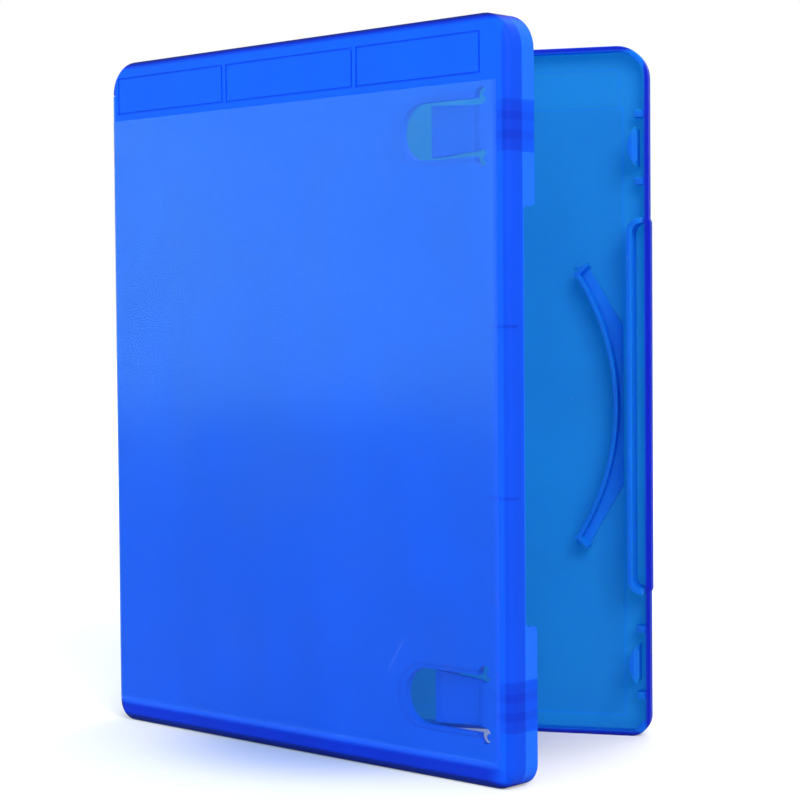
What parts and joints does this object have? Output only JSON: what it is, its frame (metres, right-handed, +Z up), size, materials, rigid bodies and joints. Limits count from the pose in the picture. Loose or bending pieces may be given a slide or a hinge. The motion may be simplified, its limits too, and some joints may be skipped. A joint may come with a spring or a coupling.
{
  "type": "optical disc case",
  "caption": "Slim upright case of translucent blue plastic for one disc: two covers on a hinged spine, sprung hub, edge ribs, booklet clips, snap latches and a clear sleeve, standing part open.",
  "frame": {"origin": "middle of the back cover's standing edge, on its flat bottom face", "axes": "+Z up the case, +X along the back cover from the spine to its free edge, -Y out of the back cover's inside, the way the case opens"},
  "size_m": [0.1402, 0.0736, 0.1715],
  "materials": {
    "shell": "translucent blue polypropylene, satin",
    "film": "clear film, slightly hazy"
  },
  "bodies": {
    "back_cover": {"back_cover": "shell", "sleeve_back": "film"},
    "spine": {"spine": "shell", "sleeve_spine": "film", "back_living_hinge": "shell", "front_living_hinge": "shell"},
    "front_cover": {"front_cover": "shell", "sleeve_front": "film"}
  },
  "joints": [
    {"name": "back_hinge", "type": "hinge", "parent": "back_cover", "child": "spine", "pos_m": [-0.0675, 0.00325, 0.08], "axis": [0, 0, -1], "range_deg": [-19.7, 70.3], "deforming": ["back_living_hinge"]},
    {"name": "front_hinge", "type": "hinge", "parent": "spine", "child": "front_cover", "pos_m": [-0.07222, -0.00993, 0.08], "axis": [0, 0, -1], "range_deg": [-7.1, 82.9], "deforming": ["front_living_hinge"]}
  ]
}
